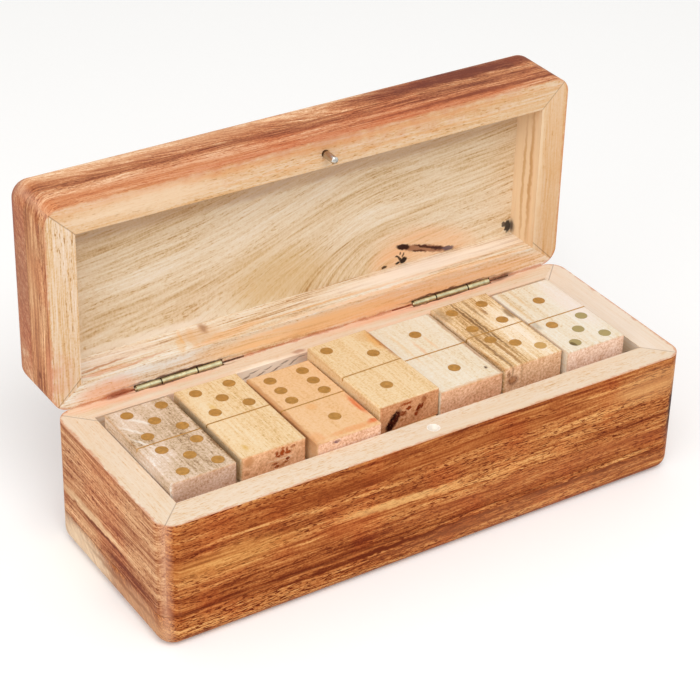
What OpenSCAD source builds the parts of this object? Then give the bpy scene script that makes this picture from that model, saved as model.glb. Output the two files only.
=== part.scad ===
// Hinged wooden box that holds a double-six set of dominoes. Its base and its lid are each a mitred
// frame of boards on a whole board with rounded edges.
// The origin is the middle of the underside. +X runs along the box, +Y to the hinges, +Z up.
// The lid is drawn shut and then turned back about the hinge line by lid_open.

/* [Box] */
// Length over the end boards
box_length = 180; // [170:1:220]
// Depth over the front and back boards
box_depth = 66; // [64:1:80]
// Height of the base, from the table to its rim
base_height = 42; // [36:1:60]
// Height of the lid, from its rim to its top
lid_height = 24; // [22:1:34]
// Thickness of the front and end boards
board = 9.5; // [8:0.5:9.5]
// Thickness of the two back boards, which the hinges are let into
back_board = 7.5; // [7:0.5:9.5]
// Thickness of the board under the base
bottom_thick = 11; // [8:0.5:11]
// Thickness of the board on top of the lid
top_thick = 11.5; // [8:0.5:12]
// Rounding of the four upright corners
corner_round = 5.5; // [5.5:0.5:7.5]
// Rounding of the edges round the underside and round the top
edge_round = 4.5; // [3:0.5:5]
// Angle at which the lid is drawn
lid_open = 90; // [0:5:90]

/* [Hinges] */
// Distance of each hinge from the middle of the box
hinge_offset = 49; // [40:1:55]
// Length of the barrel and of the leaves
hinge_length = 28.6; // [24:0.2:30]
// Length of the lid's knuckle, the middle one
middle_knuckle = 12; // [8:0.5:14]
// Radius of the barrel
barrel_r = 1.25; // [1.1:0.05:1.4]
// Radius of the hinge pin
hinge_pin_r = 0.55; // [0.4:0.05:0.6]
// Thickness of a leaf
leaf_thick = 0.5; // [0.4:0.1:0.8]
// Reach of a leaf from the middle of the pin
leaf_reach = 4.6; // [3.5:0.1:4.8]
// Radius of the saw blade that cut the slots for the leaves
saw_r = 35; // [30:1:50]

/* [Catch] */
// Distance of the catch from the middle of the box, along it
catch_x = 1; // [-3:0.5:3]
// Radius of the catch pin
catch_pin_r = 1.2; // [0.9:0.1:1.4]
// How far the pin stands out of the lid's rim
catch_reach = 6; // [4:0.1:6.5]
// Radius of the hole in the base's rim
catch_hole_r = 1.85; // [1.8:0.05:2.3]

/* [Dominoes] */
// Length of a domino
tile_length = 40; // [36:0.5:40]
// Width of a domino
tile_width = 21.8; // [18:0.1:21.8]
// Gap between neighbouring stacks
tile_gap = 0.65; // [0.6:0.05:1]
// Gap between the first stack and the left end board
first_gap = 0.7; // [0.6:0.1:1]
// Wear of a domino's edges
tile_round = 0.6; // [0.4:0.1:1]
// Diameter of a pip
pip_d = 3.9; // [3:0.1:4.4]
// Spacing of the outer pips across a domino
pip_across = 11.2; // [9:0.1:13]
// Spacing of the outer pips along a domino
pip_along = 11.7; // [9:0.1:13]
// Width of the brass strip across the middle
strip_width = 0.55; // [0.4:0.05:0.8]
// Depth of the brass in the wood
inlay_deep = 1.2; // [0.8:0.1:1.5]

/* [Hidden] */
$fn = 48;
wood_base = "#a3592f";
wood_lid = "#b56a3e";
wood_floor = "#dcc39a";
wood_tile = "#e6cf9f";
brass = "#b8923f";
steel = "#b4b4b0";

half_l = box_length / 2;
half_d = box_depth / 2;
inner_l = box_length - 2 * board;
layers = 4;
columns = 7;
highest_pip = 6;
cavity = base_height - bottom_thick;

pin_fit = 0.05;    // radial play of the lid's knuckle on its pin
barrel_room = 0.15; // air round a barrel in its scallop
knuckle_gap = 0.15;
side_knuckle = (hinge_length - middle_knuckle) / 2 - knuckle_gap;
leaf_room = 0.25;  // below the corners of a leaf
saw_depth = leaf_reach + leaf_room + saw_r - sqrt(pow(saw_r, 2) - pow(hinge_length / 2, 2));
pin_head = 0.35;
nail_r = 0.5;
nail_head_r = 0.95;
nail_head = 0.25;
nail_length = 7;
nail_below = 2.6;  // how far a hinge nail lies from the rim
nail_spread = 9.5; // how far a hinge nail lies from the middle of its hinge
inlay_fit = 0.02;
catch_hole = 8;    // depth of the hole for the catch

// How far each stack of dominoes stands proud of the rim, from the left end
proud = [3.7, 3.7, 3.3, 6.2, 4.3, 4.9, 4.4];
// Where each top domino has slid to, towards the hinges
slid = [0.3, 1.1, -3.0, -0.3, 0.4, 0.8, -0.9];
// How far each top domino is turned
turned = [0.4, 0, 0.7, 1.6, 0, 0.2, 0];
// The dominoes were sawn by hand: how much narrower and shorter than usual those of a stack are,
// and how far their middle lies off the middle of their place
narrower = [0.9, 0.6, 0, 0.6, -0.7, 0.4, 0];
shorter = [0, 0, 0, 1.1, 0, 0, 0];
aside = [-0.75, -0.3, -0.3, -0.6, -0.35, -0.2, -0.4];
// The pips were set by hand: how far those of each top half lie off their place, across and along,
// and how much wider or closer than pip_along they stand. The half by the hinges comes first.
pip_slips = [[[0.7, 0.1], [0.9, 0]], [[0.3, 0.1], [0.3, 0]], [[0.5, -0.5], [1.1, 0]],
    [[-0.7, 1.1], [-1.7, -0.1]], [[0.4, 1.1], [0, -0.4]], [[-0.2, -0.6], [0.9, 0.9]], [[0.3, 0], [0.6, 0.1]]];
pip_spreads = [[0.7, 0.3], [-0.1, 0], [0.4, 0], [-3.4, 0], [0, 0], [-0.8, -1.4], [0, 0.1]];

// Pips on the half by the hinges and on the half by the front, for the top layer
top_values = [[5, 5], [5, 0], [6, 1], [2, 1], [1, 1], [4, 3], [1, 5]];
function is_top(v) = len([for (t = top_values) if (min(t) == v[0] && max(t) == v[1]) 1]) > 0;
lower_values = [for (a = [0 : highest_pip]) for (b = [a : highest_pip]) if (!is_top([a, b])) [a, b]];

// A domino's place: its stack, counted from the left, and its layer, counted from the bottom
function values(stack, layer) =
    layer == layers - 1 ? top_values[stack] : lower_values[stack * (layers - 1) + layer];
function tile_name(stack, layer) =
    str("domino_", min(values(stack, layer)), "_", max(values(stack, layer)));
function tile_thick(stack) = (cavity + proud[stack]) / layers;
function width(stack) = tile_width - narrower[stack];
function length(stack) = tile_length - shorter[stack];
function tile_x(stack) =
    -inner_l / 2 + first_gap + tile_width / 2 + stack * (tile_width + tile_gap) + aside[stack];
function tile_y(stack, layer) = layer == layers - 1 ? slid[stack] : 1.6 * sin(97 * stack + 151 * layer);
function tile_turn(stack, layer) = layer == layers - 1 ? turned[stack] : 0;

top_tiles = [for (stack = [0 : columns - 1]) tile_name(stack, layers - 1)];
tile_nodes = [for (stack = [0 : columns - 1]) for (layer = [0 : layers - 1]) tile_name(stack, layer)];
box_nodes = ["base_front_wall", "base_back_wall", "base_left_wall", "base_right_wall", "base_bottom_board",
    "lid_front_rail", "lid_back_rail", "lid_left_rail", "lid_right_rail", "lid_top_board",
    "left_hinge_base_leaf", "left_hinge_lid_leaf", "left_hinge_pin",
    "right_hinge_base_leaf", "right_hinge_lid_leaf", "right_hinge_pin",
    "base_hinge_nails", "lid_hinge_nails", "catch_pin"];

// ---- frames ----

// Puts a shape at the hinge line
module at_hinge_line() {
    translate([0, half_d, base_height]) children();
}

// Turns the shut lid back to where it is drawn
module opened() {
    at_hinge_line() rotate([-lid_open, 0, 0])
        translate([0, -half_d, -base_height]) children();
}

// Leans a shape so that its -Z runs into the edge of the base's back wall at 45 degrees
module into_base(x) {
    at_hinge_line() translate([x, 0, 0]) rotate([-45, 0, 0]) children();
}

// The same for the back rail of the shut lid
module into_lid(x) {
    at_hinge_line() translate([x, 0, 0]) rotate([-135, 0, 0]) children();
}

module along_x(length) {
    rotate([90, 0, 90]) translate([0, 0, -length / 2]) linear_extrude(length) children();
}

module along_y(length) {
    rotate([90, 0, 0]) translate([0, 0, -length / 2]) linear_extrude(length) children();
}

// ---- boards ----

// Rectangle about the middle with rounded corners
module soft_rectangle(w, d, r) {
    square([w - 2 * r, d], center = true);
    square([w, d - 2 * r], center = true);
    for (x = [-1, 1], y = [-1, 1])
        translate([x * (w / 2 - r), y * (d / 2 - r)]) circle(r);
}

// Side view of a tray standing on z = 0, with its two lower corners rounded
module tray_profile(w, h, r) {
    translate([-w / 2, r]) square([w, h - r]);
    translate([-w / 2 + r, 0]) square([w - 2 * r, h]);
    for (x = [-1, 1]) translate([x * (w / 2 - r), r]) circle(r);
}

// Section of a tray from the middle of a rounded corner out to its face, rounded below
module corner_profile(h) {
    soft = corner_round - edge_round;
    square([soft, h]);
    translate([0, edge_round]) square([corner_round, h - edge_round]);
    intersection() {
        translate([soft, edge_round]) circle(edge_round);
        square([corner_round, h]);
    }
}

// Outside of a tray. Its lower edges run round the upright corners, so each lower corner is a soft knob
module tray_form(h) {
    l = box_length - 2 * corner_round;
    d = box_depth - 2 * corner_round;
    along_x(l) tray_profile(box_depth, h, edge_round);
    for (end = [0, 1]) mirror([end, 0, 0]) {
        along_y(d) translate([l / 2, 0]) corner_profile(h);
        for (far = [0, 1]) mirror([0, far, 0])
            translate([l / 2, d / 2, 0]) rotate_extrude(angle = 90) corner_profile(h);
    }
}

// Plan of a mitred board: front 0, right 1, back 2, left 3
module mitred_plan(side) {
    x = [-half_l, half_l, half_l, -half_l];
    y = [-half_d, -half_d, half_d, half_d];
    in_x = [-half_l + board, half_l - board, half_l - board, -half_l + board];
    in_y = [-half_d + board, -half_d + board, half_d - back_board, half_d - back_board];
    next = (side + 1) % 4;
    polygon([[x[side], y[side]], [x[next], y[next]], [in_x[next], in_y[next]], [in_x[side], in_y[side]]]);
}

// One board of the frame of a tray that stands h high on a board slab thick
module frame_board(side, h, slab) {
    intersection() {
        tray_form(h);
        translate([0, 0, slab]) linear_extrude(h - slab) mitred_plan(side);
    }
}

// The whole board that the frame stands on
module floor_board(h, slab) {
    intersection() {
        tray_form(h);
        linear_extrude(slab) square([box_length + 1, box_depth + 1], center = true);
    }
}

// The lid is a second tray turned upside down on the first
module lid_tray() {
    translate([0, 0, base_height + lid_height]) mirror([0, 0, 1]) children();
}

// ---- hinge slots ----

// Room for one hinge in an edge: the arc that the saw left, and the scallop round the barrel
module hinge_slot() {
    translate([0, 0, saw_r - saw_depth]) rotate([90, 0, 0])
        cylinder(r = saw_r, h = leaf_thick, center = true, $fn = 96);
    rotate([0, 90, 0])
        cylinder(r = barrel_r + barrel_room, h = hinge_length + 2 * pin_head + 0.6, center = true);
}

// Nail bores of both hinges, square to a back board at a height z
module hinge_nail_bores(z, r) {
    for (side = [-1, 1], s = [-1, 1])
        translate([side * hinge_offset + s * nail_spread, half_d + 1, z])
            rotate([90, 0, 0]) cylinder(r = r, h = nail_length + 1);
}

module base_back_wall() {
    color(wood_base) difference() {
        frame_board(2, base_height, bottom_thick);
        for (side = [-1, 1]) into_base(side * hinge_offset) hinge_slot();
        hinge_nail_bores(base_height - nail_below, nail_r);
    }
}

module lid_back_rail() {
    color(wood_lid) opened() difference() {
        lid_tray() frame_board(2, lid_height, top_thick);
        for (side = [-1, 1]) into_lid(side * hinge_offset) hinge_slot();
        hinge_nail_bores(base_height + nail_below, nail_r);
    }
}

module base_front_wall() {
    color(wood_base) difference() {
        frame_board(0, base_height, bottom_thick);
        translate([catch_x, -half_d + board / 2, base_height - catch_hole])
            cylinder(r = catch_hole_r, h = catch_hole + 1);
    }
}

module base_end_wall(side) {
    color(wood_base) frame_board(side, base_height, bottom_thick);
}

module lid_front_rail() {
    color(wood_lid) opened() difference() {
        lid_tray() frame_board(0, lid_height, top_thick);
        translate([catch_x, -half_d + board / 2, base_height - 1]) cylinder(r = catch_pin_r, h = 8);
    }
}

module lid_end_rail(side) {
    color(wood_lid) opened() lid_tray() frame_board(side, lid_height, top_thick);
}

module base_bottom_board() {
    color(wood_floor) floor_board(base_height, bottom_thick);
}

module lid_top_board() {
    color(wood_floor) opened() lid_tray() floor_board(lid_height, top_thick);
}

// ---- hinges ----

module knuckle(from, length) {
    translate([from, 0, 0]) rotate([0, 90, 0]) cylinder(r = barrel_r, h = length);
}

// A leaf below the barrel: the plate, and the knuckles of its lower or its middle part
module leaf(outer) {
    half = hinge_length / 2;
    far = barrel_r + barrel_room;
    difference() {
        union() {
            translate([-half, -leaf_thick / 2, -leaf_reach])
                cube([hinge_length, leaf_thick, leaf_reach - far]);
            if (outer) for (x = [-half, half - side_knuckle]) {
                knuckle(x, side_knuckle);
                translate([x, -leaf_thick / 2, -far - 0.5]) cube([side_knuckle, leaf_thick, far]);
            }
            else {
                knuckle(-middle_knuckle / 2, middle_knuckle);
                translate([-middle_knuckle / 2, -leaf_thick / 2, -far - 0.5])
                    cube([middle_knuckle, leaf_thick, far]);
            }
        }
        rotate([0, 90, 0])
            cylinder(r = hinge_pin_r + (outer ? inlay_fit : pin_fit), h = hinge_length + 2, center = true);
    }
}

module base_leaf(side) {
    color(brass) difference() {
        into_base(side * hinge_offset) leaf(true);
        hinge_nail_bores(base_height - nail_below, nail_r);
    }
}

module lid_leaf(side) {
    color(brass) opened() difference() {
        into_lid(side * hinge_offset) leaf(false);
        hinge_nail_bores(base_height + nail_below, nail_r);
    }
}

// Pin through the three knuckles, burred over at both ends
module hinge_pin(side) {
    color(brass) at_hinge_line() translate([side * hinge_offset, 0, 0]) rotate([0, 90, 0]) {
        cylinder(r = hinge_pin_r, h = hinge_length + pin_head, center = true);
        for (end = [0, 1]) mirror([0, 0, end]) translate([0, 0, hinge_length / 2])
            cylinder(r1 = barrel_r * 0.8, r2 = barrel_r * 0.45, h = pin_head);
    }
}

// Small nails through the back board and the leaf
module hinge_nails(z) {
    color(brass) for (side = [-1, 1], s = [-1, 1])
        translate([side * hinge_offset + s * nail_spread, half_d, z]) rotate([90, 0, 0]) {
            translate([0, 0, -nail_head / 2]) cylinder(r = nail_r - inlay_fit, h = nail_length - 0.8);
            translate([0, 0, -nail_head]) cylinder(r = nail_head_r, h = nail_head);
        }
}

// ---- catch ----

// Steel pin in the lid's rim, with a low dome on its tip
module catch_pin() {
    dome_r = 1.25 * catch_pin_r;
    color(steel) opened() translate([catch_x, -half_d + board / 2, base_height])
        rotate_extrude() {
            translate([0, -catch_reach + 0.6]) square([catch_pin_r - inlay_fit, catch_reach + 6.2]);
            intersection() {
                translate([0, -catch_reach + dome_r]) circle(dome_r);
                translate([0, -catch_reach]) square([catch_pin_r - inlay_fit, 0.9]);
            }
        }
}

// ---- dominoes ----

// A plain domino with its worn edges, about the middle and on z = 0
module blank(w, l, thick) {
    intersection() {
        linear_extrude(thick) soft_rectangle(w, l, 1.5 * tile_round);
        along_x(w + 1) translate([0, thick / 2]) soft_rectangle(l, thick, tile_round);
        along_y(l + 1) translate([0, thick / 2]) soft_rectangle(w, thick, tile_round);
    }
}

// Places of n pips on a half domino, in steps across and along
function pip_places(n) =
    concat(n % 2 == 1 ? [[0, 0]] : [],
        n > 1 ? [[-1, 1], [1, -1]] : [],
        n > 3 ? [[1, 1], [-1, -1]] : [],
        n == 6 ? [[-1, 0], [1, 0]] : []);

// The brass of both halves: discs and a strip, or the room for them when fit is 0
module brass_shapes(stack, layer, fit) {
    top = layer == layers - 1;
    low = tile_thick(stack) - inlay_deep + fit;
    for (half = [0, 1]) {
        slip = top ? pip_slips[stack][half] : [0, 0];
        along = pip_along + (top ? pip_spreads[stack][half] : 0);
        for (p = pip_places(values(stack, layer)[half]))
            translate([p[0] * pip_across / 2 + slip[0],
                    length(stack) * (0.25 - half / 2) + p[1] * along / 2 + slip[1], low])
                cylinder(r = pip_d / 2 - fit, h = inlay_deep + 1, $fn = 24);
    }
    translate([-tile_width / 2 - 1, -strip_width / 2 + fit, low])
        cube([tile_width + 2, strip_width - 2 * fit, inlay_deep + 1]);
}

module set_down(stack, layer) {
    translate([tile_x(stack), tile_y(stack, layer), bottom_thick + layer * tile_thick(stack)])
        rotate(tile_turn(stack, layer)) children();
}

module domino(stack, layer) {
    color(wood_tile) set_down(stack, layer) difference() {
        blank(width(stack), length(stack), tile_thick(stack));
        brass_shapes(stack, layer, 0);
    }
}

module domino_brass(stack, layer) {
    color(brass) set_down(stack, layer) intersection() {
        blank(width(stack), length(stack), tile_thick(stack));
        brass_shapes(stack, layer, inlay_fit);
    }
}

// ---- nodes ----

base_front_wall();
base_back_wall();
base_end_wall(3);  // base_left_wall
base_end_wall(1);  // base_right_wall
base_bottom_board();
lid_front_rail();
lid_back_rail();
lid_end_rail(3);  // lid_left_rail
lid_end_rail(1);  // lid_right_rail
lid_top_board();
base_leaf(-1);  // left_hinge_base_leaf
lid_leaf(-1);  // left_hinge_lid_leaf
hinge_pin(-1);  // left_hinge_pin
base_leaf(1);  // right_hinge_base_leaf
lid_leaf(1);  // right_hinge_lid_leaf
hinge_pin(1);  // right_hinge_pin
hinge_nails(base_height - nail_below);  // base_hinge_nails
opened() hinge_nails(base_height + nail_below);  // lid_hinge_nails
catch_pin();
for (stack = [0 : columns - 1]) {
    for (layer = [0 : layers - 1]) {
        name = tile_name(stack, layer);
        union() {
            domino(stack, layer);
            if (layer < layers - 1) domino_brass(stack, layer);
        }
    }
    name = str(tile_name(stack, layers - 1), "_brass");
    domino_brass(stack, layers - 1);
}
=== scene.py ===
"""Finishes the pieces of a domino storage box and sets it on a pale studio floor.

The boards are stained outside and bare on their rims and inside. The dominoes are of mixed pale
woods with pips of brass. Lengths in the recipes are in millimetres.
"""
import math

import bmesh
import bpy
from mathutils import Matrix, Vector, noise


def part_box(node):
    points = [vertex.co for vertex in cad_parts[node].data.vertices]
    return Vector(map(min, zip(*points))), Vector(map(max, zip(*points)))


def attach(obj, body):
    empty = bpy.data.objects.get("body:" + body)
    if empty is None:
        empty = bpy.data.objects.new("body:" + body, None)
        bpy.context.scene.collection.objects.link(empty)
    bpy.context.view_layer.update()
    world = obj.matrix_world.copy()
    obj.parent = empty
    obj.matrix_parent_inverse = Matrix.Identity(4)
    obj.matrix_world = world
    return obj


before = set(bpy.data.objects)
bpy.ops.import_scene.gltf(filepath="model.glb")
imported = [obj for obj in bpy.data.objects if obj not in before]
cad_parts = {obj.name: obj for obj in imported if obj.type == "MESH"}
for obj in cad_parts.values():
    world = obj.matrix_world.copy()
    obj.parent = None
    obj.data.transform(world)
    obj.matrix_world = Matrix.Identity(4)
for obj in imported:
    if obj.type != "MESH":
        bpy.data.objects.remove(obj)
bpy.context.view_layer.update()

bl_info = {
    "name": "Domino Storage Box",
    "version": (1, 0, 0),
    "blender": (4, 5, 0),
    "location": "View3D > Sidebar > Domino Box",
    "description": "Wood, brass and steel finishes of a hinged box of dominoes, and its studio",
    "category": "Material",
}

MM = 1000.0  # millimetres in a metre
X, Y, Z = 0, 1, 2


def paint(code):
    """A colour written as #rrggbb, as the linear values that a shader takes."""
    parts = [int(code[i:i + 2], 16) / 255 for i in (1, 3, 5)]
    return tuple(p / 12.92 if p <= 0.04045 else ((p + 0.055) / 1.055) ** 2.4 for p in parts)


def palette(codes):
    return [paint(code) for code in codes.split()]


def low(node):
    """The lowest corner of a CAD node, in millimetres."""
    return Vector(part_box(node)[0]) * MM


def high(node):
    """The highest corner of a CAD node, in millimetres."""
    return Vector(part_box(node)[1]) * MM


# ---- recipes ----

SHINE = 0.06  # specular level of every finish
MIDDLE = 0.5  # value that every pattern varies about, from 0 to 1
MIX_INPUTS, MIX_RESULT = (0, 6, 7), 2  # sockets of a Mix node that mixes colours


class Recipe:
    """The nodes of one finish. Each method adds a node and gives back what comes out of it."""

    def __init__(self, name):
        self.material = bpy.data.materials.new(name)
        self.material.use_nodes = True
        tree = self.material.node_tree
        self.nodes, self.links = tree.nodes, tree.links
        self.nodes.clear()
        self.shader = self.add("BsdfPrincipled")
        self.shader.inputs["Specular IOR Level"].default_value = SHINE
        output = self.add("OutputMaterial")
        self.links.new(self.shader.outputs["BSDF"], output.inputs["Surface"])
        coordinates = self.add("TexCoord")
        self.place = self.scaled(coordinates.outputs["Object"], MM)
        self.facing = self.parts(coordinates.outputs["Normal"])

    def feed(self, socket, value):
        """Links a socket to an output, or sets its value. A colour of three values becomes opaque."""
        if isinstance(value, bpy.types.NodeSocket):
            self.links.new(value, socket)
        elif hasattr(socket.default_value, "__len__"):
            missing = len(socket.default_value) - len(value)
            socket.default_value = (*value, *[1.0] * missing)
        else:
            socket.default_value = value

    def add(self, kind, *values):
        """A new node of a kind, with its first inputs fed."""
        node = self.nodes.new("ShaderNode" + kind)
        for socket, value in zip(node.inputs, values):
            self.feed(socket, value)
        return node

    def math(self, what, *values, clamp=False):
        node = self.add("Math", *values)
        node.operation, node.use_clamp = what, clamp
        return node.outputs[0]

    def vector(self, what, *values):
        node = self.add("VectorMath", *values)
        node.operation = what
        return node.outputs["Value" if what == "LENGTH" else "Vector"]

    def scaled(self, place, scale):
        """The place times a scale, which is one value or one for each axis."""
        return self.vector("MULTIPLY", place, scale if hasattr(scale, "__len__") else (scale,) * 3)

    def parts(self, vector):
        return self.add("SeparateXYZ", vector).outputs

    def join(self, x, y, z):
        return self.add("CombineXYZ", x, y, z).outputs[0]

    def noise(self, vector, detail=2.0, rough=0.5, colour=False):
        """A cloudy pattern with about one spot to a unit, as a value or as a colour."""
        node = self.add("TexNoise", vector)
        node.inputs["Scale"].default_value = 1.0
        node.inputs["Detail"].default_value = detail
        node.inputs["Roughness"].default_value = rough
        return node.outputs[1 if colour else 0]

    def soft(self, value, start, end):
        """0 before start and 1 after end, with a smooth step between them."""
        node = self.add("MapRange", value, start, end)
        node.interpolation_type = "SMOOTHSTEP"
        return node.outputs[0]

    def mix(self, amount, first, second, how="MIX"):
        node = self.add("Mix")
        node.data_type, node.blend_type = "RGBA", how
        for index, value in zip(MIX_INPUTS, (amount, first, second)):
            self.feed(node.inputs[index], value)
        return node.outputs[MIX_RESULT]

    def ramp(self, value, colours):
        """Colours spread evenly from 0 to 1."""
        node = self.add("ValToRGB", value)
        stops = node.color_ramp.elements
        last = len(colours) - 1
        while len(stops) <= last:
            stops.new(MIDDLE)
        for i, (stop, colour) in enumerate(zip(stops, colours)):
            stop.position = i / last
            stop.color = (*colour, 1.0)
        return node.outputs[0]

    def total(self, start, *terms):
        """start plus the sum of (pattern, weight) terms."""
        result = start
        for value, weight in terms:
            result = self.math("MULTIPLY_ADD", self.math("SUBTRACT", value, MIDDLE), weight, result)
        return result

    def sway(self, place, scale, span):
        """The place, pushed to and fro over a span by a pattern of a scale."""
        drift = self.noise(self.scaled(place, scale), colour=True)
        drift = self.vector("SUBTRACT", drift, (MIDDLE,) * 3)
        return self.vector("ADD", place, self.scaled(drift, span))

    def about(self, place, centre, turn, size=(1, 1, 1)):
        """The place seen from a centre that is turned, in degrees, and measured in units of size."""
        node = self.add("Mapping", place, centre, [math.radians(t) for t in turn], size)
        node.vector_type = "TEXTURE"
        return node.outputs[0]

    def spot(self, place, centre, size, turn, blur):
        """1 inside an ellipsoid of half sizes size and 0 outside it."""
        return self.soft(self.vector("LENGTH", self.about(place, centre, turn, size)), 1 + blur, 1 - blur)

    def finish(self, colour, roughness, height, depth, strength=0.5):
        """The material. Its bumps follow height and are as deep as depth."""
        self.feed(self.shader.inputs["Base Color"], colour)
        self.feed(self.shader.inputs["Roughness"], roughness)
        bump = self.add("Bump")
        bump.inputs["Strength"].default_value = strength
        bump.inputs["Distance"].default_value = depth / MM
        self.feed(bump.inputs["Height"], height)
        self.links.new(bump.outputs[0], self.shader.inputs["Normal"])
        return self.material


def stretch(along, length, width):
    """Scale of a pattern that is length long along the grain and width across it."""
    scale = [1 / width] * 3
    scale[along] = 1 / length
    return scale


def turned(axis, angle=0):
    return [angle if k == axis else 0 for k in (X, Y, Z)]


SEED_STEP = (17.3, 31.7, 53.9)  # how far apart in the wood two seeds are
WANDER = (45, 14)  # length and width over which the grain wanders
BAND_RUN, STREAK_RUN, LINE_RUN, PORE_RUN = 18, 30, 36, 7  # how much longer than wide each pattern is
RING_DEPTH = 4  # how much deeper than wide the rings are
PORE_START, PORE_END = -0.05, 0.04  # where a pore begins and is whole, from the pores' spread
FLECKS = 1.4  # flecks of lighter and darker wood in a millimetre


class Grain:
    """The figure of one piece of wood, right through it, in bands, streaks, lines, pores and flecks.

    The rings are turned by ring degrees about the grain, so that they show as lines on the ends too.
    """

    def __init__(self, recipe, along, seed, place, spread, ring=45, sway=1.2, band=6.0, streak=1.5,
                 line=0.45, pore=0.3):
        r = recipe
        shift = r.vector("ADD", place, [step * seed for step in SEED_STEP])
        span = [2 * sway] * 3
        span[along] = 0
        wandering = r.sway(shift, stretch(along, *WANDER), span)
        self.place = r.about(wandering, (0, 0, 0), turned(along, ring))
        self.bands = self.field(r, along, BAND_RUN, band, 2, 0.5)
        self.streaks = self.field(r, along, STREAK_RUN, streak, 3, 0.6)
        self.lines = self.field(r, along, LINE_RUN, line, 2, 0.6)
        pores = r.noise(r.scaled(self.place, stretch(along, pore * PORE_RUN, pore)), 1.0)
        self.pores = r.soft(pores, spread + PORE_START, spread + PORE_END)
        self.flecks = r.noise(r.scaled(shift, FLECKS), 3, 0.7)

    def field(self, recipe, along, run, width, detail, rough):
        """A pattern that is width wide and run times as long, and deeper than wide."""
        scale = stretch(along, width * run, width)
        scale[(along + 1) % 3] /= RING_DEPTH
        return recipe.noise(recipe.scaled(self.place, scale), detail, rough)


def put(node, material):
    """Gives a CAD node one finish."""
    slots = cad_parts[node].data.materials
    slots.clear()
    slots.append(material)


def added(name, shape):
    """A new object of the scene, of a shape that is used up."""
    mesh = bpy.data.meshes.new(name)
    shape.to_mesh(mesh)
    shape.free()
    piece = bpy.data.objects.new(name, mesh)
    bpy.context.scene.collection.objects.link(piece)
    return piece


TOUCHING = 1e-6  # distance in metres within which corners are welded
SHARP = math.radians(35)  # angle from which an edge is eased


def ease(node, width):
    """Takes the sharpness off the edges of a CAD node."""
    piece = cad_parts[node]
    weld = piece.modifiers.new("joined", "WELD")
    weld.merge_threshold = TOUCHING
    bevel = piece.modifiers.new("eased", "BEVEL")
    bevel.width, bevel.segments = width / MM, 2
    bevel.limit_method, bevel.angle_limit = "ANGLE", SHARP


# ---- marks ----

# Faces that carry marks: the axis that each is square to, and its place on it
FRONT, LEFT, BASE_RIM = (Y, -33), (X, -90), (Z, 42)
INSIDE_BACK, INSIDE_RIGHT = (Y, 25.5), (X, 80.5)  # of the base's back wall, and of the lid's right rail
LID_END, LID_RIM, LID_FLOOR, PANEL = (Z, 108), (Y, 33), (Z, 49.5), (Y, 45.5)
TOP, CUT = (Z, 0), (Y, -20)  # a domino's face and its front end, from the middle of its face
SHADE_BLUR = 0.7  # how softly a shade fades out


def on(face, reach, *marks):
    """Marks on a face, reach deep: each with its centre, half sizes and axis, and what it does.

    A mark is given by two places and two half sizes in the plane of the face. A shade then has an
    amount, and a tint has a colour and a strength. A turn in degrees may come last.
    """
    axis, depth = face
    across, up = [k for k in (X, Y, Z) if k != axis]
    result = []
    for u, v, half_u, half_v, *what in marks:
        centre, size = [depth] * 3, [reach] * 3
        centre[across], centre[up] = u, v
        size[across], size[up] = half_u, half_v
        result.append((centre, size, axis, *what))
    return result


def shaded(recipe, place, shades, tone):
    """The tone after the marks that make it lighter or darker."""
    for centre, size, axis, amount, *angle in shades:
        spot = recipe.spot(place, centre, size, turned(axis, *angle), SHADE_BLUR)
        tone = recipe.math("MULTIPLY_ADD", spot, amount, tone)
    return tone


def tinted(recipe, place, tints, colour, break_up=None, blur=0.5):
    """The colour after the marks that have one of their own."""
    for centre, size, axis, tint, strength, *angle in tints:
        spot = recipe.spot(place, centre, size, turned(axis, *angle), blur)
        amount = recipe.math("MULTIPLY", spot, strength)
        if break_up is not None:
            amount = recipe.math("MULTIPLY", amount, break_up, clamp=True)
        colour = recipe.mix(amount, colour, paint(tint))
    return colour


# ---- boards ----

CORNER = 5.5  # rounding of the upright corners
# Far upper corners of the base's walls, and of the lid as it stands open
BASE_TOP = Vector((high("base_right_wall").x, high("base_back_wall").y, high("base_front_wall").z))
LID_FAR = Vector((high("lid_right_rail").x, high("lid_top_board").y, high("lid_front_rail").z))

# Bare woods of the boards, from dark to light
BARE = {
    "maple": "#b48b5f #d7b084 #e3c5a1 #e7d2b9 #ead8c3 #ecddca #eee4d6",
    "pale": "#b08353 #d3a876 #debb92 #e2c7a8 #e6ceb5 #e9d4c1 #ecdccb",
    "peach": "#ab7c4b #ce9f68 #d9ae80 #ddba92 #e1c4a3 #e4cbae #e8d6bf",
    "straw": "#96683c #ba9160 #d6ba92 #e3cdae #e9d9c0 #ede0ce #f0e8dc",
    "cream": "#b88f66 #d6b792 #e2cbac #e7d6be #eadecb #ece5d8 #f0ece4",
}

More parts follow.
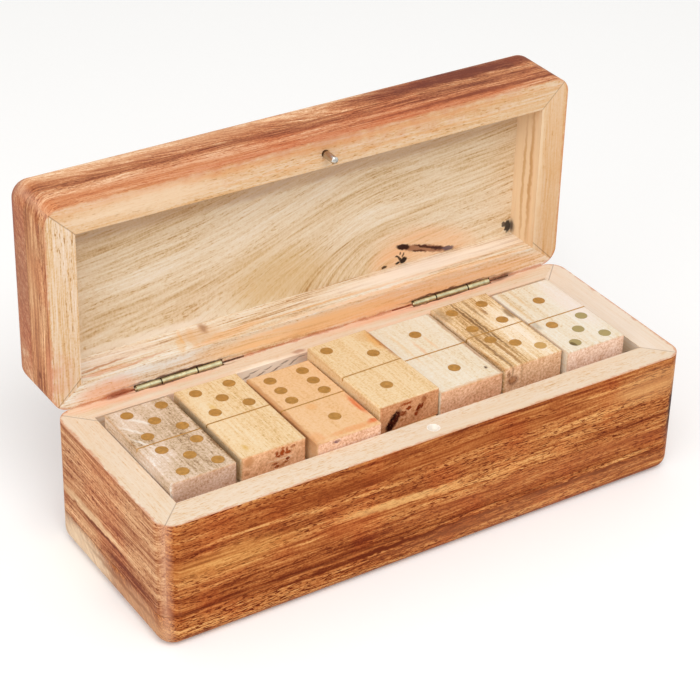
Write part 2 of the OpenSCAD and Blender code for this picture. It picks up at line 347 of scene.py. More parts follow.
# Each board: the axis of its grain, a seed, its stain and its bare wood; contrast of its bands, streaks and
# lines, and how much of it bare wood keeps; depth and spread of its pores; its marks. A figure is the heart
# of a knot that the rings run round, and their tilt in degrees.
BOARDS = {
    "base_front_wall": dict(
        along=X, seed=1, stain="amber", bare="maple", contrast=(0.9, 1.0, 1.5, 0.3), pores=(0.9, 0.6),
        shades=on(FRONT, 8, (-58, 32.1, 34, 0.5, 0.3, 2), (-70, 25.2, 16, 4, 0.26),
            (-14, 23.9, 18, 1.1, 0.46, 2), (22, 22.3, 34, 1, 0.2), (74, 34.6, 18, 5, 0.26),
            (40, 30.5, 40, 1.6, 0.12), (-7, 36.3, 7, 1.4, 0.24), (-42, 34.9, 30, 1.4, -0.26),
            (-62, 38.2, 24, 0.9, -0.2), (-40, 29.4, 20, 1.2, -0.2), (74, 22.1, 16, 0.8, -0.3),
            (-24, 11.6, 42, 1.2, -0.3), (-44, 15.1, 36, 1.2, -0.16), (8, 16.4, 60, 1.4, -0.14),
            (42, 12.2, 42, 1.4, -0.2), (0, 21, 70, 4, 0.12)),
        tints=on(FRONT, 8, (88.6, 22, 2.2, 9, "#3a1a10", 1.1), (88, 4, 8, 6, "#8a6048", 0.7),
            (-30, 35.7, 60, 4, "#a4521f", 0.3), (-68, 25.2, 18, 4, "#cf9048", 0.35),
            (-13, 23.9, 18, 1.2, "#e2b070", 0.5, 2), (80, 34.6, 14, 5, "#d29b66", 0.4),
            (40, 15.8, 50, 3.4, "#b4663c", 0.3))),
    "base_bottom_board": dict(
        along=X, seed=5, stain="amber", bare="maple", contrast=(0.7, 1.0, 2.0, 0.5), pores=(1.0, 0.58),
        shades=on(FRONT, 8, (-70, 5.2, 24, 4, 0.14), (56, 4.8, 34, 2, 0.24), (36, 8.8, 54, 0.7, -0.5),
            (-28, 9, 22, 0.8, -0.5), (0, 6.3, 22, 1.4, -0.16)),
        tints=(on(FRONT, 8, (40, 6.3, 50, 3, "#b9774c", 0.4)) + on(LEFT, 5, (18, 5.4, 20, 5, "#eed2b0", 0.85),
            (-18, 5, 14, 6, "#cfa07a", 0.7), (-8, 7.6, 22, 0.8, "#8a4f30", 0.5)))),
    "base_left_wall": dict(
        along=Y, seed=2, stain="tan", bare="maple", contrast=(0.7, 0.8, 1.3, 0.4), pores=(0.5, 0.64),
        shades=on(LEFT, 8, (10, 19.7, 24, 1.2, 0.44), (16, 13.1, 12, 1.6, 0.16), (-12, 13.7, 15, 2.6, -0.34),
            (6, 18.1, 20, 0.4, -0.4), (0, 29.4, 26, 0.8, -0.14), (4, 35.7, 26, 3, 0.1)),
        tints=on(LEFT, 8, (12, 19.9, 20, 1.4, "#dcba92", 0.45))),
    "base_right_wall": dict(along=Y, seed=3, stain="amber", bare="maple", contrast=(0.6, 1.0, 1.9, 0.35),
        tints=on(BASE_RIM, 2, (85, 0, 9, 40, "#f4e4d6", 0.5))),
    "base_back_wall": dict(along=X, seed=4, stain="amber", bare="maple", contrast=(0.6, 1.0, 1.9, 0.4),
        tints=(on(BASE_RIM, 2, (-62, 31, 24, 2, "#f2b08c", 0.5), (40, 31.4, 34, 2, "#f2ac86", 0.5),
            (0, 26, 80, 1.2, "#f3cdb0", 0.4)) + on(BASE_RIM, 1, (-11, 27, 2, 0.9, "#a1583a", 0.6))
            + on(BASE_RIM, 1.2, (0, 33, 88, 0.35, "#9c6444", 0.3)) + on(BASE_RIM, 2,
            # painted shadow of the hinge barrels along the back edge of the rim
            (-49, 31.5, 16, 0.35, "#6d3c28", 0.8), (49, 31.5, 16, 0.35, "#6d3c28", 0.8),
            # the rim round the open slot ends is darkened: stain in the slots, and their painted shade
            (-69, 32.6, 4.6, 0.9, "#9c4a30", 0.8), (68, 32.6, 4.6, 0.9, "#7a4834", 0.8)) + on(INSIDE_BACK, 2,
            # painted light: a near white patch on the shaded inside of the back wall, then grain flecks
            (-24, 37.8, 12, 6, "#fff4e2", 1.3)) + on(INSIDE_BACK, 1.5,
            (-30, 39.7, 1.4, 0.28, "#96836d", 0.8, -16), (-27.4, 40.8, 1.8, 0.2, "#9a8872", 0.8, -12),
            (-25, 39.1, 1.6, 0.28, "#8f7c66", 0.8, -18), (-22.6, 40.5, 1.5, 0.22, "#96836d", 0.8, -14),
            (-19.8, 39.5, 1.8, 0.25, "#8f7c66", 0.8, -16), (-17, 40.7, 1.6, 0.24, "#96836d", 0.8, -10),
            (-13.8, 39.9, 1.7, 0.25, "#8f7c66", 0.8, -16), (-10.8, 40.9, 1.4, 0.22, "#9a8872", 0.8, -12)))),
    "lid_front_rail": dict(
        along=X, seed=6, stain="rose", bare="peach", contrast=(0.9, 1.0, 1.3, 0.8), pores=(0.5, 0.63),
        shades=on(LID_END, 8, (-55, 44, 28, 1, -0.2), (-50, 40, 40, 2.2, 0.2), (-40, 34.6, 45, 1.4, 0.16),
            (30, 41.6, 50, 1.6, -0.26), (56, 37, 34, 1.2, -0.32), (30, 34.4, 60, 1.4, 0.1),
            (60, 44, 30, 1.4, -0.16)),
        tints=(on(LID_END, 8, (-60, 36, 40, 4, "#d9935f", 0.45), (20, 34.4, 70, 1.6, "#c4683c", 0.4))
            + on(LID_RIM, 2, (0, 105.5, 90, 0.8, "#dd9a5c", 0.35), (20, 101.4, 60, 0.5, "#dd9c58", 0.3),
            (-58, 103, 22, 3, "#ecd3b4", 0.6)) + on(LID_END, 3, (-10, 37, 84, 4.6, "#c4633a", 0.3)))),
    "lid_top_board": dict(
        along=X, seed=10, stain="rose", bare="straw", contrast=(0.9, 0.7, 1.3, 0.7), pores=(0.28, 0.62),
        figure=((36.5, 45.5, 47), 6),
        shades=(on(LID_END, 9, (60, 50, 34, 3, -0.45)) + on((Z, 106), 9, (-20, 54, 50, 3, 0.3),
            (-70, 52, 20, 4, 0.3)) + on(PANEL, 2, (20, 69, 14, 5, 0.2), (-48, 70, 14, 5, 0.14))),
        tints=(on(PANEL, 2, (48, 54, 17, 6, "#f0bd90", 0.6, 13), (34, 52, 7, 4, "#efb584", 0.5))
            + on(LID_END, 9, (60, 51, 34, 3.4, "#74382a", 0.6), (-40, 52, 40, 4, "#dca47c", 0.3))
            + on(LEFT, 5, (52, 78, 8, 30, "#a06a56", 0.5), (55, 98, 3, 14, "#84463c", 0.5)) + on(PANEL, 2,
            # the first is painted shadow of the lid's front rail along the top of the panel
            (0, 89.6, 90, 2.6, "#a87a54", 0.4), (-8, 58, 16, 9, "#d6b378", 0.45),
            (-55, 50.6, 25, 1.4, "#f3e6d6", 0.7)))),
    "lid_left_rail": dict(
        along=Z, seed=7, stain="tan", bare="pale", contrast=(0.7, 0.8, 1.6, 1.0), pores=(0.5, 0.64),
        shades=(on(LEFT, 8, (44, 97, 1.2, 7, -0.2), (39, 90, 1.2, 6, -0.16), (37, 76, 2, 26, 0.16),
            (40, 68, 1.4, 5, -0.2)) + on(LEFT, 6, (40.5, 51, 0.6, 1, -0.5)) + on(LEFT, 8,
            (43.6, 62, 1, 14, 0.2))),
        tints=on(LEFT, 8, (42, 76, 4, 28, "#cd9468", 0.4), (34.4, 54, 1.6, 10, "#d58a66", 0.5))),
    "lid_right_rail": dict(along=Z, seed=8, stain="rose", bare="peach", contrast=(0.7, 1.0, 1.6, 0.7),
        # painted light: the lightening shade and the two pale tints spread over the whole inner face
        shades=on(INSIDE_RIGHT, 2, (39, 74, 8, 30, 0.3)),
        tints=(on(INSIDE_RIGHT, 2, (35.4, 74, 1.3, 24, "#dfa262", 0.45), (41.5, 74, 3.4, 24, "#f7dfc2", 0.5),
            (39, 74, 9, 34, "#f4dab6", 0.75)) + on(LID_RIM, 2, (85.5, 74, 5, 33, "#dfa468", 0.3))
            + on(INSIDE_RIGHT, 2, (36.9, 74, 0.8, 24, "#c8965c", 0.7), (40.3, 70, 0.7, 20, "#cfa36c", 0.7),
            # the dark spot in the deep corner of the recess is painted shade
            (45, 52, 1.6, 2.2, "#54463f", 0.8)))),
    "lid_back_rail": dict(along=X, seed=9, stain="rose", bare="cream", contrast=(1.1, 1.0, 1.6, 1.3),
        tints=(on(LID_FLOOR, 2, (-66, 41.5, 14, 3.4, "#f4e6da", 0.5), (-72, 35.8, 8, 1, "#dd8f5c", 0.55),
            (-41, 38.6, 1.3, 6, "#e3a84e", 0.35, -14), (-45.6, 37.6, 1.1, 5, "#ecbc74", 0.35, -22),
            (-38, 39.6, 7, 4.6, "#e2bc94", 0.6, -12), (-43.6, 41, 0.5, 4, "#eab264", 0.35, -14),
            (-35.4, 42.4, 1.5, 2.9, "#c29a78", 0.85, -12), (-35.4, 42.4, 0.7, 1.8, "#a27c60", 0.5, -12),
            (35, 34, 46, 1.2, "#efbd8a", 0.4), (-72, 38.6, 9, 0.5, "#c89a78", 0.9, 6),
            (-60, 35.6, 9, 0.5, "#d8a888", 0.8, 8), (-30, 36, 12, 2, "#ecb478", 0.6, 8),
            (30, 37.2, 50, 0.6, "#e6b277", 0.6), (46, 40.4, 40, 3.6, "#f6e9da", 0.9)) + on(LID_RIM, 3,
            (-72, 44, 9, 4, "#f3a878", 0.5), (40, 45.5, 46, 4, "#f6b470", 0.6),
            (-10, 46, 30, 3, "#fac98e", 0.7)) + on(LID_RIM, 1.2, (0, 42, 88, 0.35, "#9c6444", 0.3))
            # painted shadow of the hinge barrels along the rim
            + on(LID_RIM, 2, (-49, 43.55, 16, 0.4, "#5e3423", 0.9), (49, 43.55, 16, 0.4, "#5e3423", 0.9),
            # the rim round the open slot ends is darkened: stain in the slots, and their painted shade
            (-69, 42.4, 4.6, 0.9, "#9c4a30", 0.85), (68, 42.4, 4.6, 0.9, "#7a4834", 0.85)))),
}
# The bare wood inside the catch pin's hole, painted near white: painted light in a shaded hole
HOLE_PAINTED_LIGHT = on((Z, 38), 40, (1, -28.25, 1.98, 1.98, "#fff8ee", 1))
# Dark bark and knots in the board on top of the lid
BARK = on(PANEL, 2, (47.4, 52.6, 10.8, 1.25, "#925d40", 0.85, 17), (38.6, 55.5, 2.7, 1, "#2c1512", 0.97, 17),
    (48.4, 52.8, 5.6, 0.42, "#45241c", 0.9, 21), (44.8, 52.4, 2.6, 0.36, "#553022", 0.85, 16),
    (52, 51.4, 2.6, 0.7, "#4a2d27", 0.85, 17), (56, 50.3, 2.4, 0.8, "#6f5c60", 0.9, 10),
    (38.8, 50.6, 1.5, 1, "#1a0f0e", 0.97, -12), (36.6, 50.2, 0.8, 0.6, "#231713", 0.95, -30),
    (37.3, 51.6, 0.5, 1.1, "#2a1916", 0.9, -35), (36.3, 52.6, 0.6, 0.4, "#2a1a14", 0.9),
    (37.6, 53.3, 0.35, 0.6, "#3a241d", 0.8), (38.8, 52.5, 0.35, 0.9, "#3a241d", 0.85, 25),
    (31.6, 49.9, 1, 0.5, "#2a1a14", 0.9), (79.4, 52, 1.2, 2.2, "#38302c", 0.95),
    (77.8, 53, 0.8, 0.9, "#4a3d36", 0.9), (78.4, 51, 0.5, 0.5, "#4a3d36", 0.9))


# How much red, green and blue each stain swallows: where it lies deep, and where it lies thin
STAINS = {
    "amber": ((0.58, 0.95, 1.22), (0.58, 1.08, 1.42)),
    "rose": ((0.58, 0.82, 0.8), (0.58, 1.2, 1.65)),
    "tan": ((0.58, 0.97, 1.15), (0.58, 1.0, 1.3)),
    "end": ((0.3, 0.5, 0.7), (0.3, 0.5, 0.7)),
}
DEPTHS = (2.0, 1.1, 0.5, 0.0, -0.35, -0.65, -1.0)  # of a stain, from its deepest to its thinnest


def stain_colours(middle, kind):
    """Colours of a stain from where it is deepest to where it is thinnest."""
    deep, thin = STAINS[kind]
    return [tuple(c * math.exp(-depth * k) for c, k in zip(middle, deep if depth > 0 else thin))
            for depth in DEPTHS]


# Each pair says where a thing begins and where it is whole. Distances are in millimetres.
LEVEL, RIM_SKIN = (0.6, 0.9), (0.6, 0.4)  # the rim, by how squarely it faces up, and by its depth


class Tray:
    """Where a place lies in the base or the lid: how far in from the outside, and how far below the rim."""

    def __init__(self, recipe, lid):
        r, place = recipe, recipe.parts(recipe.place)
        self.deep = LID_FAR.y - BASE_TOP.y if lid else BASE_TOP.z
        if lid:
            across = r.math("SUBTRACT", place[Z], LID_FAR.z - BASE_TOP.y)
            self.below = r.math("SUBTRACT", place[Y], BASE_TOP.y)
            up = r.math("MULTIPLY", r.facing[Y], -1)
        else:
            across = place[Y]
            self.below = r.math("SUBTRACT", BASE_TOP.z, place[Z])
            up = r.facing[Z]
        self.rim = r.math("MULTIPLY", r.soft(up, *LEVEL), r.soft(self.below, *RIM_SKIN))
        out_x = r.math("SUBTRACT", r.math("ABSOLUTE", place[X]), BASE_TOP.x - CORNER)
        out_y = r.math("SUBTRACT", r.math("ABSOLUTE", across), BASE_TOP.y - CORNER)
        self.corner = r.math("MINIMUM", out_x, out_y)
        round_part = r.vector("LENGTH", r.join(r.math("MAXIMUM", out_x, 0), r.math("MAXIMUM", out_y, 0), 0))
        inside = r.math("MINIMUM", r.math("MAXIMUM", out_x, out_y), 0)
        self.inset = r.math("SUBTRACT", CORNER, r.math("ADD", round_part, inside))
        self.mitre = r.math("ABSOLUTE", r.math("SUBTRACT", out_x, out_y))


KNOT_LENGTH, KNOT_WIDTH = 45, 30  # how slowly the rings open out behind a knot, and how far


def ringed(recipe, heart, tilt):
    """The place in a board whose rings run round a knot and open out towards one end."""
    r = recipe
    x, y, z = r.parts(r.about(r.place, heart, (0, -tilt, 0)))
    behind = r.math("TANH", r.math("DIVIDE", r.math("MINIMUM", x, 0), KNOT_LENGTH))
    ring = r.vector("LENGTH", r.join(r.math("MULTIPLY", behind, KNOT_WIDTH), z, 0))
    return r.join(x, y, ring)


SIDE_SKIN, SLAB_SKIN = (6.0, 5.6), (4.7, 4.5)  # the stained outside of the sides and of the slab
WORN_CORNER, WORN_SLAB = (1.6, 4.2), (3.0, 0.4)  # where the stain is rubbed away
MITRE_LINE, SEAM_LINE = (0.34, 0.1), (0.3, 0.05)  # glue lines
BLOTCHY, PORE_BANDS = (0.45, 0.7), (0.1, 0.7)  # blotches of stain, and the bands that have pores
BLOTCH_SIZE, CREEP_SIZE = 0.06, 0.3  # blotches, and tongues of stain on a rim, in a millimetre
TORN, BARK_TORN = (1 / 3.5, 2.0), (1 / 1.4, 1.2)  # scale and span of the ragged edges of marks
BLOTCH, SLAB_WEAR, CREEP, GLUE = 0.3, 0.5, 0.6, 0.4  # strengths
CREEP_END = 0.1  # how far in from the edge of a rim the crept stain is whole


def board_finish(node, settings):
    """Wood that is stained outside and bare on the rim and inside."""
    look, lid = BOARDS[node], node.startswith("lid")
    r = Recipe(node)
    tray = Tray(r, lid)
    place = ringed(r, *look["figure"]) if "figure" in look else r.place
    pore_depth, pore_spread = look.get("pores", (0.5, 0.68))
    grain = Grain(r, look["along"], look["seed"], place, pore_spread)
    ragged = r.sway(r.place, *TORN)
    blotch = r.noise(r.scaled(r.place, BLOTCH_SIZE))

    bands, streaks, lines, calm = look["contrast"]
    tone = r.total(0.5, (grain.bands, bands), (grain.streaks, streaks), (grain.lines, lines),
                   (grain.flecks, 0.7))
    tone = shaded(r, ragged, look.get("shades", ()), tone)
    pores = r.math("MULTIPLY", grain.pores, r.soft(r.total(0.5, (grain.bands, 3)), *PORE_BANDS))
    tone = r.math("MULTIPLY_ADD", pores, -pore_depth, tone)
    stain = r.ramp(tone, stain_colours(getattr(settings, look["stain"]), look["stain"]))
    blotch = r.math("MULTIPLY", r.soft(blotch, *BLOTCHY), BLOTCH)
    stain = r.mix(blotch, stain, paint("#a84a26"), "SOFT_LIGHT")
    bare = r.ramp(r.total(0.5, (tone, calm)), palette(BARE[look["bare"]]))

    # upright corners and the far edges are rubbed paler
    rubbed = r.soft(r.total(tray.corner, (grain.lines, 1.4)), *WORN_CORNER)
    far = r.math("SUBTRACT", tray.deep, tray.below)
    rubbed = r.math("MAXIMUM", rubbed, r.math("MULTIPLY", r.soft(far, *WORN_SLAB), SLAB_WEAR))
    stain = r.mix(r.math("MULTIPLY", rubbed, settings.wear), stain, settings.worn)

    outer = r.math("MAXIMUM", r.soft(tray.inset, *SIDE_SKIN), r.soft(far, *SLAB_SKIN))
    outer = r.math("MULTIPLY", outer, r.math("SUBTRACT", 1, tray.rim))
    colour = r.mix(outer, bare, stain)
    tints = look.get("tints", ())
    colour = tinted(r, ragged, tints, colour, r.math("MULTIPLY_ADD", grain.streaks, 1.4, 0.3))
    if node == "lid_top_board":
        colour = tinted(r, r.sway(r.place, *BARK_TORN), BARK, colour, blur=0.25)
    # the inside of the catch hole is painted near white, as painted light
    if node == "base_front_wall":
        colour = tinted(r, r.place, HOLE_PAINTED_LIGHT, colour, blur=0.05)
    # the stain has crept over the outer edge of the rim
    creep = r.noise(r.scaled(r.place, CREEP_SIZE), 4, 0.7)
    creep = r.soft(r.total(tray.inset, (creep, 3.0)), settings.creep, CREEP_END)
    creep = r.math("MULTIPLY", creep, tray.rim)
    colour = r.mix(r.math("MULTIPLY", creep, CREEP), colour, settings.bleed)
    # glue lines: the mitres on the rim, and the joint of the frame and its board outside
    glue = r.math("MULTIPLY", r.soft(tray.mitre, *MITRE_LINE), tray.rim)
    slab = low("lid_top_board").y - BASE_TOP.y if lid else BASE_TOP.z - high("base_bottom_board").z
    seam = r.soft(r.math("ABSOLUTE", r.math("SUBTRACT", tray.below, slab)), *SEAM_LINE)
    glue = r.math("MAXIMUM", glue, r.math("MULTIPLY", seam, outer))
    colour = r.mix(r.math("MULTIPLY", glue, GLUE), colour, paint("#5a2f1a"))

    height = r.total(0.5, (grain.lines, 0.8), (grain.streaks, 0.4))
    height = r.math("MULTIPLY_ADD", pores, -0.5, height)
    rough = r.math("MULTIPLY_ADD", outer, -0.14, r.math("MULTIPLY_ADD", grain.streaks, 0.2, 0.56))
    return r.finish(colour, rough, height, 0.06, 0.45)


# ---- dominoes ----

TOP_ROW = ["domino_5_5", "domino_0_5", "domino_1_6", "domino_1_2", "domino_1_1", "domino_3_4", "domino_1_5"]
DOMINOES = [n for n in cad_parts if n.startswith("domino") and not n.endswith("_brass")]

# Woods of the dominoes, from dark to light
WOODS = {
    "grey": "#806245 #ab8c6d #c6aa8a #d8bea3 #e1c9b4 #e8d6c6 #f0e9e1",
    "yellow": "#ac8042 #ceaa6f #e3bf8d #eacda1 #edd4ad #eedab9 #f1e2c8",
    "peach": "#b37b46 #d39f68 #e5b884 #eac092 #ecc59a #eec8a0 #f0ceab",
    "cream": "#b48b5c #d7ba90 #e7d4b5 #eadcc5 #ede2cf #eee7d9 #f1ede4",
    "straw": "#90693a #bb915f #d1a874 #e2bf91 #eed3ab #f2ddbe #f6e7d2",
}
# Top dominoes from the left: wood, end, contrast, depth of the pores, and marks. Flecks break up knots.
FACES = [
    dict(wood="grey", end="#d5b198", contrast=0.65, pores=0.55,
        shades=(on(TOP, 6, (-7.5, -7, 4, 6, 0.3), (-6, 13, 4, 6, 0.2)) + on(TOP, 4, (-7, 3, 4, 3, -0.16),
            # the shade along the right edge is painted shade of the gap to the next stack
            (-4, -13, 4, 5, -0.16)) + on(TOP, 6, (10.4, 0, 0.8, 22, -0.5))),
        tints=(on(TOP, 3, (-6.4, 7.4, 0.5, 5, "#f1e9de", 0.7, 34), (-3.4, 12, 0.5, 4, "#f1e9de", 0.7, 40),
            (-7.6, 1.6, 0.4, 4, "#efe6da", 0.6, 28)) + on(CUT, 1, (-10.6, -4, 0.6, 6, "#f4efe8", 0.9)))),
    dict(wood="yellow", end="#eeb78a", contrast=0.6, pores=0.5,
        shades=on(TOP, 6, (-7, 2, 3, 12, 0.14), (7, 10, 5, 9, -0.08)),
        tints=on(TOP, 3, (-4.6, 6.4, 0.9, 2.6, "#dfb04a", 0.5), (-6.8, -15.6, 0.8, 1.8, "#d8a93e", 0.5)),
        knots=on(CUT, 2, (0.8, -2.2, 0.45, 0.8, "#a04a22", 1.4), (2.6, -2.3, 0.7, 1, "#a84c20", 1.6),
            (2.8, -0.9, 0.6, 0.35, "#b4622e", 1), (4.6, -2.7, 1, 0.55, "#ac5022", 1.4),
            (4.1, -1.6, 0.35, 0.7, "#ac5426", 1.1), (6.1, -1.3, 0.8, 0.5, "#b0683c", 0.9),
            (1.4, -3.2, 0.7, 0.4, "#9c451c", 1.2), (4.4, -4.8, 0.6, 0.45, "#83381a", 1.4),
            (0.3, -5.4, 1.1, 0.4, "#9a4a22", 1.3), (0.9, -6.5, 0.8, 0.5, "#96451e", 1.3),
            (2.6, -6.5, 0.9, 0.5, "#a8602e", 1), (3.8, -5.8, 1, 0.4, "#a8602e", 1),
            (1.9, -4.2, 4, 0.22, "#f6d2ac", 1.2), (-8.9, -5.8, 0.9, 0.5, "#b5784a", 0.7),
            (-8.2, -1.9, 1.5, 1.5, "#cf8a50", 0.6))),
    dict(wood="peach", end="#f3c6a8", contrast=0.34, pores=0.15,
        tints=(on(TOP, 3, (10.2, -8, 1.1, 5, "#dc7440", 0.75), (9.4, -17.2, 1.6, 0.9, "#d9663a", 0.8))
            + on(TOP, 2, (3, -18, 8, 1.2, "#e6914f", 0.45), (-9, -17, 2, 3, "#e8985c", 0.35),
            # the tint along the left edge is painted shade of the gap to the stack before
            (-2, -2.4, 1.6, 1.6, "#e8a45c", 0.4)) + on(TOP, 4, (-10.6, 0, 0.9, 22, "#b4713c", 0.55))),
        knots=on(CUT, 1, (-4.4, -1, 1.2, 0.5, "#6a3f52", 0.75))),
    dict(wood="yellow", end="#d3976c", contrast=0.5, pores=0.3,
        tints=(on(TOP, 3, (9, 13, 1.8, 5, "#e4a24c", 0.6), (7, 16, 2.4, 2.4, "#dfae76", 0.4)) + on(TOP, 0.6,
            # the last tint, along the right edge, is painted shade of the gap to the next stack
            (0, -20, 11, 0.6, "#b06a3e", 0.5)) + on(TOP, 4, (9.8, 10, 0.7, 9, "#a86434", 0.6))),
        knots=(on(CUT, 3, (-5.3, -6, 1.5, 3.7, "#451509", 1.45, 34)) + on(CUT, 2,
            (-6.6, -7.6, 1.2, 1.1, "#2a0d08", 1.1), (-5.2, -4.6, 0.5, 1.6, "#240c08", 1.2, 34),
            (-1.8, -4.5, 1.4, 0.8, "#86401f", 1.1, 20), (-0.9, -1.4, 2, 0.42, "#9a4820", 1.3),
            (0.1, -3.2, 0.9, 0.6, "#8a3a16", 1.6), (-2.2, -6.5, 0.6, 0.5, "#a86434", 0.9),
            (3.7, -4.3, 0.7, 1.2, "#702408", 1.7, 25), (2.8, -6.1, 0.75, 0.75, "#8c3a18", 1.3),
            (4.9, -3.8, 0.5, 1, "#7c3012", 1.3, 20), (5.4, -1.8, 0.9, 1, "#95502c", 0.9)))),
    dict(wood="cream", end="#e8b691", contrast=0.5, pores=0.25,
        tints=(on(TOP, 3, (8.4, -14.8, 0.55, 0.7, "#5a4032", 0.9), (-6.8, 6, 0.5, 9, "#eac690", 0.5),
            (-2.6, 3, 0.6, 5, "#e8b98a", 0.55), (2, 5, 0.6, 4, "#ebc08e", 0.5)) + on(TOP, 4,
            # the first tint here, along the right edge, is painted shade of the gap to the next stack
            (10.5, 0, 0.6, 22, "#a87448", 0.6)) + on(TOP, 1, (-1, -19.6, 9, 0.5, "#d9a070", 0.4)))),
    dict(wood="straw", end="#e7ba93", contrast=0.9, pores=0.6,
        shades=on(TOP, 8, (5.6, -8, 5, 14, 0.36), (6, 6, 4, 10, 0.22), (-6.6, 0, 4.4, 22, -0.08)),
        tints=(on(TOP, 8, (-7.8, -10, 0.5, 13, "#7a5230", 0.7), (-3.3, 8, 0.45, 13, "#6f4a2c", 0.75),
            (-2.1, 2, 0.4, 14, "#6b4728", 0.7), (-4.4, -12, 0.5, 10, "#9a6c40", 0.6)) + on(TOP, 4,
            (-9.4, 15, 1.6, 4, "#8a6442", 0.5)) + on(TOP, 6, (1, 14, 0.5, 7, "#8f6844", 0.5)) + on(TOP, 4,
            (9.4, 6, 1.1, 3, "#86603a", 0.7)) + on(TOP, 3, (3.2, 10.6, 0.6, 1.8, "#8f5a28", 0.7)) + on(TOP, 4,
            # this tint along the right edge is painted shade of the gap to the next stack
            (10.6, 0, 0.5, 20, "#8a5a38", 0.6))),
        knots=on(CUT, 2, (-7.6, -4.8, 1.9, 1.6, "#8a5230", 0.8), (-7.6, -4.8, 0.9, 0.7, "#c48c60", 0.8),
            (-9.2, -2.4, 0.7, 1, "#8a5634", 0.7))),
    dict(wood="cream", end="#efcbb2", contrast=0.7, pores=0.3,
        shades=(on(TOP, 6, (7, 6, 5, 16, 0.16)) + on(TOP, 4, (-8, 12, 1, 8, -0.18))),
        tints=(on(TOP, 6, (8, 4, 4, 14, "#f1dfd6", 0.5)) + on(TOP, 2, (-9.6, -2, 1.2, 2.4, "#9a8a78", 0.4))
            + on(TOP, 4, (-4.6, 14, 0.5, 6, "#dcb478", 0.5), (-8.6, 8, 0.6, 10, "#dcb478", 0.45)))),
]


RING_START, RING_STEP, RING_SPAN = 25, 37, 60  # angles of the rings, which differ from seed to seed
CUT_END = (0.5, 0.9)  # the cut ends, by how squarely they face along the grain
GRUBBY = (0.7, 0.15)  # dirt along the edges, by the distance from them
WOOD_TORN, KNOT_TORN = (1 / 1.8, 1.4), (1 / 0.8, 1.0)  # scale and span of the ragged edges of marks
GRUBBINESS = 0.4  # strength of that dirt


def domino_finish(node, look, seed):
    """Sanded wood with the grain along the domino, and a browner cut across it at the ends."""
    r = Recipe(node)
    lo, hi = low(node), high(node)
    middle, half = (lo + hi) / 2, (hi - lo) / 2
    place = r.vector("SUBTRACT", r.place, (middle.x, middle.y, hi.z))
    contrast = look["contrast"]
    ring = RING_START + RING_STEP * seed % RING_SPAN
    grain = Grain(r, Y, seed, place, 0.66, ring, sway=0.8, band=4.5, streak=1.1, line=0.36, pore=0.34)
    ragged = r.sway(place, *WOOD_TORN)
    tone = r.total(0.5, (grain.bands, 0.9 * contrast), (grain.streaks, contrast), (grain.lines, contrast),
                   (grain.flecks, 1.1))
    tone = shaded(r, ragged, look.get("shades", ()), tone)
    tone = r.math("MULTIPLY_ADD", grain.pores, -0.4 * look["pores"], tone)
    colour = r.ramp(tone, palette(WOODS[look["wood"]]))
    end = r.soft(r.math("ABSOLUTE", r.facing[Y]), *CUT_END)
    end_tone = r.total(0.5, (grain.streaks, 0.2), (grain.lines, 0.2), (grain.bands, 0.5), (grain.flecks, 1.6))
    colour = r.mix(end, colour, r.ramp(end_tone, stain_colours(paint(look["end"]), "end")))
    tints, knots = look.get("tints", ()), look.get("knots", ())
    colour = tinted(r, ragged, tints, colour, r.math("MULTIPLY_ADD", grain.lines, 1.8, 0.1))
    ragged = r.sway(place, *KNOT_TORN)
    colour = tinted(r, ragged, knots, colour, r.math("MULTIPLY_ADD", grain.flecks, 3.6, -0.9), 0.4)
    # edges have picked up dirt and lost their corners
    x, y, z = r.parts(place)
    from_side = r.math("SUBTRACT", half.x, r.math("ABSOLUTE", x))
    from_end = r.math("SUBTRACT", half.y, r.math("ABSOLUTE", y))
    from_face = r.math("SUBTRACT", half.z, r.math("ABSOLUTE", r.math("ADD", z, half.z)))
    from_corner = r.math("MAXIMUM", from_side, from_end)
    from_rim = r.math("MAXIMUM", r.math("MINIMUM", from_side, from_end), from_face)
    near = r.math("MINIMUM", from_corner, from_rim)
    worn = r.soft(r.total(near, (grain.streaks, 0.9)), *GRUBBY)
    colour = r.mix(r.math("MULTIPLY", worn, GRUBBINESS), colour, paint("#bd8552"))
    height = r.math("MULTIPLY_ADD", grain.pores, -0.5, r.total(0.5, (grain.lines, 0.6)))
    rough = r.math("MULTIPLY_ADD", grain.streaks, 0.2, 0.52)
    return r.finish(colour, rough, height, 0.05, 0.4)


# ---- metal ----

# Tarnish on four pips of the last domino
PIPS = (Z, 46)
DULLED = on(PIPS, 3, *[(x, y, 2.6, 2.6, "#a9a070", 0.75)
                       for x, y in ((71.6, -4.9), (66, -10.8), (71.6, -16.7), (60.4, -16.7))])
# A dark crescent beside one of them, and a paler pip on the domino before it
DULLED += on(PIPS, 3, (59.2, -17.6, 0.9, 1.7, "#54401f", 0.7), (49.7, -13.4, 2.6, 2.6, "#dcb878", 0.6))
# Painted shade in the gaps between the knuckles
KNUCKLE_GAP_SHADE = []
for gap in (-55.07, -42.93, 42.93, 55.07):
    KNUCKLE_GAP_SHADE += on((X, gap), 0.25, (33, 42, 3.4, 3.4, "#4d3d28", 0.9))
# The darker shaft of the catch pin, and a dark ring round its foot
SHAFT = on((Z, 103.25), 3, (1, 30, 3, 2.4, "#b4aa9e", 0.5), (1, 33, 3, 1.0, "#4a3524", 0.9))
MOTTLE = 0.8  # lighter and darker spots of metal in a millimetre
SCRATCH = (1.2, 0.12)  # length and width of the fine scratches


